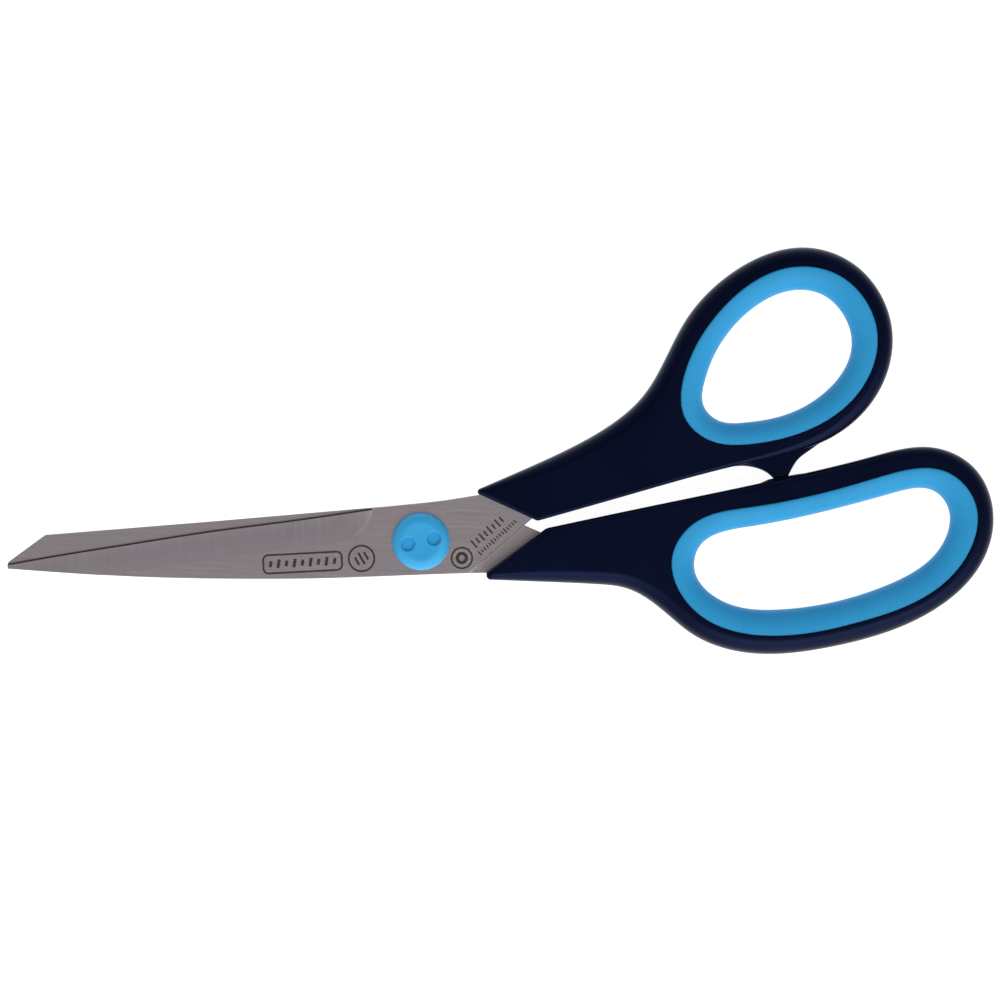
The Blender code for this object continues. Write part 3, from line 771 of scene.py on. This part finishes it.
def make_handles(looks):
    web_front = smooth_curve(WEB_FRONT, 28, closed=False)
    web_back = smooth_curve(WEB_BACK, 24, closed=False)
    web = stop_block("stop_web", np.vstack([web_front, web_back, WEB_ROOT]), WEB_HALF)
    name = "thumb_handle_moulding"
    thumb = handle(name, THUMB_EDGE, THUMB_CORNERS, 250, THUMB_SEAT, 150, looks, web)
    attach(thumb, "front_half")
    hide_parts("thumb_handle")
    pad = stop_block("stop_pad", corners(*PAD), PAD_HALF)
    name = "finger_handle_moulding"
    finger = handle(name, FINGER_EDGE, FINGER_CORNERS, 290, FINGER_SEAT, 190, looks, pad)
    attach(finger, "rear_half")
    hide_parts("finger_handle")
    lining = grip("thumb_grip_lining", THUMB_LOOP, THUMB_SEAT, 150, looks)
    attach(lining, "front_half")
    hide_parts("thumb_grip")
    lining = grip("finger_grip_lining", FINGER_LOOP, FINGER_SEAT, 190, looks)
    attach(lining, "rear_half")
    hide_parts("finger_grip")


# ---------------------------------------------------------------- pivot
def make_cap(looks):
    """A domed button with a dished middle and two dimples for a spanner."""
    dish = [(0.0, 4.45), (2.0, 4.5), (3.4, 4.6), (4.2, 4.64)]
    shoulder = [(4.8, 4.52), (5.3, 4.24), (5.75, 3.8), (6.1, 3.2), (CAP_R, 2.6)]
    crown = smooth_curve([*dish, *shoulder], 52, closed=False)
    spots = [math.radians(angle) for angle in DIMPLE_ANGLES]
    spots = [DIMPLE_REACH * np.array([math.cos(angle), math.sin(angle)]) for angle in spots]
    soft = 0.16

    def heights(loop, height):
        sunk = np.zeros(len(loop))
        for spot in spots:
            away = np.linalg.norm(loop - spot, axis=1)
            share = np.clip((DIMPLE_R + soft - away) / (2 * soft), 0, 1)
            sunk = np.maximum(sunk, share * share * (3 - 2 * share))
        return height - DIMPLE_DEPTH * sunk

    def build(bm):
        count = 144
        levels = [(circle(radius, count), height) for radius, height in crown[1:]]
        levels = [(loop, heights(loop, height)) for loop, height in levels]
        skirt = [(CAP_R, CAP_BASE + 0.2), (CAP_R - 0.2, CAP_BASE), (CAP_LIP, CAP_BASE), (CAP_LIP, 2.5)]
        skirt += [(CAP_ROOM, 2.65), (CAP_ROOM, CAP_CEILING)]
        levels += [(circle(radius, count), height) for radius, height in skirt]
        rings = skin(bm, levels)
        pole(bm, rings[0], crown[0][1])
        pole(bm, rings[-1], CAP_CEILING)

    cap = placed(new_object("pivot_cap_button", build), [looks["cap"]], sharp=50)
    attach(cap, "rear_half")
    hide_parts("pivot_cap")


def make_nut(looks):
    """The slotted sleeve nut, with its head below the rear blade."""
    low = -NUT_SEAT - NUT_T

    def build(bm):
        levels = [
            (circle(BORE_R), low + 0.12),
            (circle(BORE_R + 0.12), low),
            (circle(NUT_R - 0.4), low),
            (circle(NUT_R - 0.12), low + 0.12),
            (circle(NUT_R), low + 0.4),
            (circle(NUT_R), -NUT_SEAT),
            (flatted(FLAT_R, FLAT_HALF), -NUT_SEAT),
            (flatted(FLAT_R, FLAT_HALF), -BLADE_IN - 0.1),
            (circle(SHANK_R), -BLADE_IN - 0.1),
            (circle(SHANK_R), BLADE_OUT - 0.15),
            (circle(BORE_R), BLADE_OUT - 0.15),
        ]
        skin(bm, levels, closed=True)

    nut = new_object("pivot_nut_slotted", build)
    half = NUT_R + 1
    wide = SLOT_W / 2
    slot = corners((-half, -wide), (half, -wide), (half, wide), (-half, wide))
    tool = new_object("slot", lambda bm: plate(bm, [(slot, low - 1), (slot, low + SLOT_DEPTH)]))
    boolean(nut, "DIFFERENCE", tool)
    placed(nut, [looks["turned"]], sharp=25)
    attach(nut, "rear_half")
    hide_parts("pivot_nut")


# ---------------------------------------------------------------- floor, light and camera
def make_floor():
    def build(bm):
        cells = FLOOR_CELLS
        bmesh.ops.create_grid(bm, x_segments=cells, y_segments=cells, size=FLOOR_HALF)

    floor = new_object("floor", build)
    floor.location.z = -FLOOR_GAP
    look = Look("pale_floor", Roughness=0.9, Specular_IOR_Level=0.1)
    grain = look.noise((3.0, 3.0, 3.0), detail=2.0)
    look.colour(look.blend(look.spread(grain, 0.0, 1.0), (0.38, 0.38, 0.38), (0.4, 0.4, 0.4)))
    look.shader.inputs["Emission Color"].default_value = (1, 1, 1, 1)
    look.shader.inputs["Emission Strength"].default_value = FLOOR_GLOW
    floor.data.materials.append(look.made)


def make_light():
    """Soft surroundings: pale at the horizon, dark overhead, and brightest over the -Y side."""
    world = bpy.data.worlds.new("studio")
    bpy.context.scene.world = world
    world.use_nodes = True
    tree = world.node_tree
    place = tree.nodes.new("ShaderNodeTexCoord")
    parts = tree.nodes.new("ShaderNodeSeparateXYZ")
    ramp = tree.nodes.new("ShaderNodeValToRGB")
    tree.links.new(place.outputs["Generated"], parts.inputs[0])
    tree.links.new(parts.outputs["Z"], ramp.inputs["Fac"])
    stops = ramp.color_ramp.elements
    stops[0].position, stops[1].position = SKY[0][0], SKY[-1][0]
    for position, _ in SKY[1:-1]:
        stops.new(position)
    for stop, (_, level) in zip(stops, SKY):
        stop.color = (level, level, level, 1)
    towards = tree.nodes.new("ShaderNodeVectorMath")
    towards.operation = "DOT_PRODUCT"
    towards.inputs[1].default_value = Vector(KEY_FROM).normalized()
    tree.links.new(place.outputs["Generated"], towards.inputs[0])
    glow = tree.nodes.new("ShaderNodeMapRange")
    glow.interpolation_type = "SMOOTHSTEP"
    glow.inputs["From Min"].default_value, glow.inputs["From Max"].default_value = KEY_SPREAD
    glow.inputs["To Max"].default_value = KEY_LEVEL
    tree.links.new(towards.outputs["Value"], glow.inputs["Value"])
    total = tree.nodes.new("ShaderNodeMath")
    tree.links.new(ramp.outputs["Color"], total.inputs[0])
    tree.links.new(glow.outputs["Result"], total.inputs[1])
    background = tree.nodes["Background"]
    background.inputs["Color"].default_value = (1, 1, 1, 1)
    tree.links.new(total.outputs[0], background.inputs["Strength"])
    lamp = bpy.data.lights.new("fill", "AREA")
    lamp.shape = "RECTANGLE"
    lamp.size, lamp.size_y = FILL_SIZE
    lamp.energy = FILL_ENERGY
    fill_light = bpy.data.objects.new("fill", lamp)
    fill_light.location = FILL_FROM
    fill_light.rotation_euler = (-fill_light.location).to_track_quat("-Z", "Y").to_euler()
    bpy.context.scene.collection.objects.link(fill_light)


def make_camera():
    """A long lens straight above the scissors."""
    camera = bpy.data.objects.new("camera", bpy.data.cameras.new("camera"))
    camera.data.lens = camera.data.sensor_width * VIEW_DISTANCE / VIEW_WIDTH
    camera.data.clip_end = VIEW_FAR
    above = VIEW_HEIGHT - PIVOT.z + VIEW_DISTANCE
    camera.location = PIVOT + Vector((*VIEW_CENTRE, above))
    bpy.context.scene.collection.objects.link(camera)
    bpy.context.scene.camera = camera
    bpy.context.scene.view_settings.view_transform = "Standard"


def main():
    steel, ground_steel, sheared = (0.54, 0.485, 0.52), (0.51, 0.455, 0.5), (0.42, 0.4, 0.41)
    turned = (0.6, 0.59, 0.58)
    # Near-black tones for the edge facet: a painted shade line along the cutting edge, not the steel's
    # own colour.
    edge_shade, edge_shade_pale = (0.02, 0.013, 0.01), (0.045, 0.03, 0.024)
    etched, etched_light = (0.03, 0.02, 0.016), (0.06, 0.042, 0.034)
    navy, navy_light, navy_sheen = (0.0009, 0.0016, 0.0095), (0.0014, 0.0026, 0.0135), (0.2, 0.3, 0.78)
    blue, blue_light = (0.024, 0.305, 0.61), (0.03, 0.33, 0.65)
    cap_blue, cap_light = (0.026, 0.355, 0.7), (0.034, 0.385, 0.74)
    nylon, nylon_light = (0.74, 0.74, 0.7), (0.8, 0.8, 0.76)
    looks = {
        "flat": brushed_steel("steel_brushed", steel, 0.27, "X", turn=-2.0),
        "ground": brushed_steel("steel_cross_ground", ground_steel, 0.42, "Y", fine=0.12, coarse=0.5),
        # The edge facet's material is painted shade: a near-black line standing in for the shadow along
        # the cutting edge.
        "facet": matt_dark("edge_facet_painted_shade", edge_shade, edge_shade_pale, 0.4, 0.6),
        "sides": brushed_steel("steel_sheared", sheared, 0.42, "X", fine=0.2, coarse=0.6),
        "navy": moulded_plastic("navy_plastic", navy, navy_light, 0.28, 0.28, navy_sheen),
        "rubber": soft_rubber("blue_rubber", blue, blue_light, 0.5, 0.18),
        "cap": soft_rubber("blue_cap", cap_blue, cap_light, 0.38, 0.3),
        "turned": turned_steel("steel_turned", turned, 0.3),
        "ink": matt_dark("etched_mark", etched, etched_light, 0.5, 0.6),
        "nylon": soft_rubber("white_nylon", nylon, nylon_light, 0.5, 0.4),
    }
    kept = {"pivot_screw": "turned", "wave_washer": "turned", "friction_washer": "nylon"}
    for name, look in kept.items():
        for slot in frame["nodes"][name].material_slots:
            slot.material = looks[look]
    make_camera()
    make_floor()
    make_light()
    make_blades(looks)
    make_marks(looks["ink"])
    make_handles(looks)
    make_cap(looks)
    make_nut(looks)


main()
